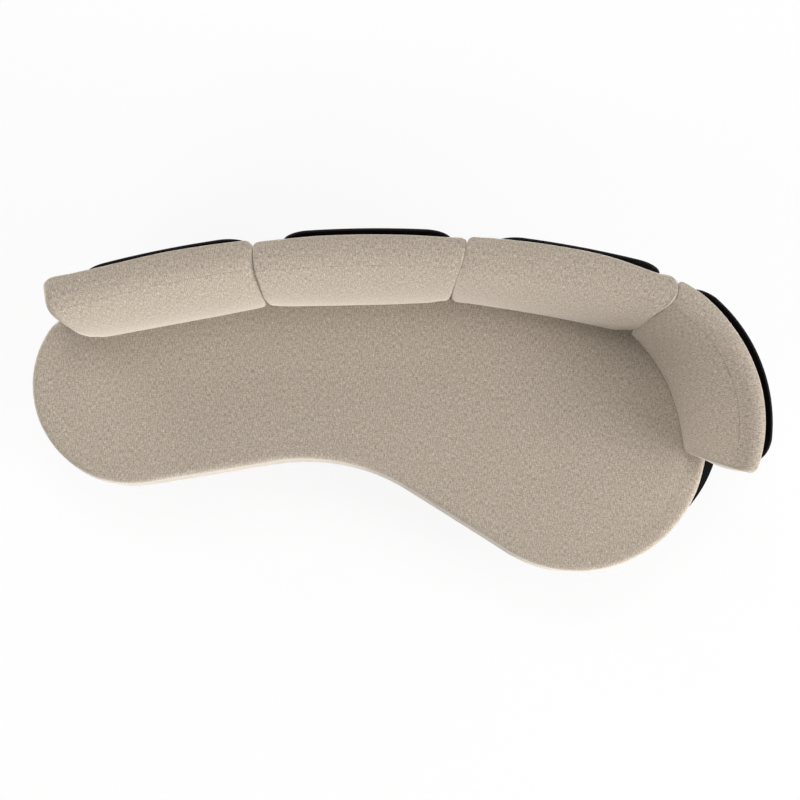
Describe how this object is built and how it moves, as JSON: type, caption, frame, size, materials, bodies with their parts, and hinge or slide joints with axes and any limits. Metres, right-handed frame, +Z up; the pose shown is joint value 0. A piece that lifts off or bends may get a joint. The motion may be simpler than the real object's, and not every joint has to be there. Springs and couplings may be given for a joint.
{
  "type": "curved outdoor sofa",
  "caption": "Low bean-shaped outdoor sofa with one seat cushion and loose back cushions that lean on curved metal back panels round its rear edge.",
  "frame": {"origin": "on the floor, midway in overall width and depth", "axes": "+X along the sofa towards its deep right end as seen by someone in front of it, +Y towards the back, +Z up"},
  "size_m": [3.2656, 1.52, 0.7516],
  "materials": {
    "cushion_fabric": "matte beige melange weave",
    "black_metal": "matte black powder coat",
    "pad_plastic": "matte black moulded plastic",
    "bolt_steel": "blackened stainless steel"
  },
  "bodies": {
    "frame": {"back_feet_1": "black_metal", "back_feet_2": "black_metal", "back_feet_3": "black_metal", "back_feet_4": "black_metal", "back_foot_bolts": "bolt_steel", "back_panel_1": "black_metal", "back_panel_2": "black_metal", "back_panel_3": "black_metal", "back_panel_4": "black_metal", "cross_beam_1": "black_metal", "cross_beam_2": "black_metal", "cross_beam_3": "black_metal", "cross_beam_4": "black_metal", "deck_plate": "black_metal", "floor_pad_1": "pad_plastic", "floor_pad_2": "pad_plastic", "floor_pad_3": "pad_plastic", "floor_pad_4": "pad_plastic", "floor_pad_5": "pad_plastic", "floor_pad_6": "pad_plastic", "floor_pad_7": "pad_plastic", "floor_pad_8": "pad_plastic", "leg_1": "black_metal", "leg_2": "black_metal", "leg_3": "black_metal", "leg_4": "black_metal", "leg_5": "black_metal", "leg_6": "black_metal", "leg_7": "black_metal", "leg_8": "black_metal", "rail_front": "black_metal", "rail_left": "black_metal", "rail_rear": "black_metal", "rail_right": "black_metal"},
    "seat_cushion": {"seat_cushion": "cushion_fabric"},
    "back_cushion_1": {"back_cushion_1": "cushion_fabric"},
    "back_cushion_2": {"back_cushion_2": "cushion_fabric"},
    "back_cushion_3": {"back_cushion_3": "cushion_fabric"},
    "back_cushion_4": {"back_cushion_4": "cushion_fabric"}
  },
  "joints": [
    {"name": "seat_cushion_lift", "type": "slide", "parent": "frame", "child": "seat_cushion", "axis": [0, 0, 1], "range_m": [0, 0.45]},
    {"name": "back_cushion_1_lift", "type": "slide", "parent": "seat_cushion", "child": "back_cushion_1", "axis": [0, 0, 1], "range_m": [0, 0.4]},
    {"name": "back_cushion_2_lift", "type": "slide", "parent": "seat_cushion", "child": "back_cushion_2", "axis": [0, 0, 1], "range_m": [0, 0.4]},
    {"name": "back_cushion_3_lift", "type": "slide", "parent": "seat_cushion", "child": "back_cushion_3", "axis": [0, 0, 1], "range_m": [0, 0.4]},
    {"name": "back_cushion_4_lift", "type": "slide", "parent": "seat_cushion", "child": "back_cushion_4", "axis": [0, 0, 1], "range_m": [0, 0.4]}
  ]
}
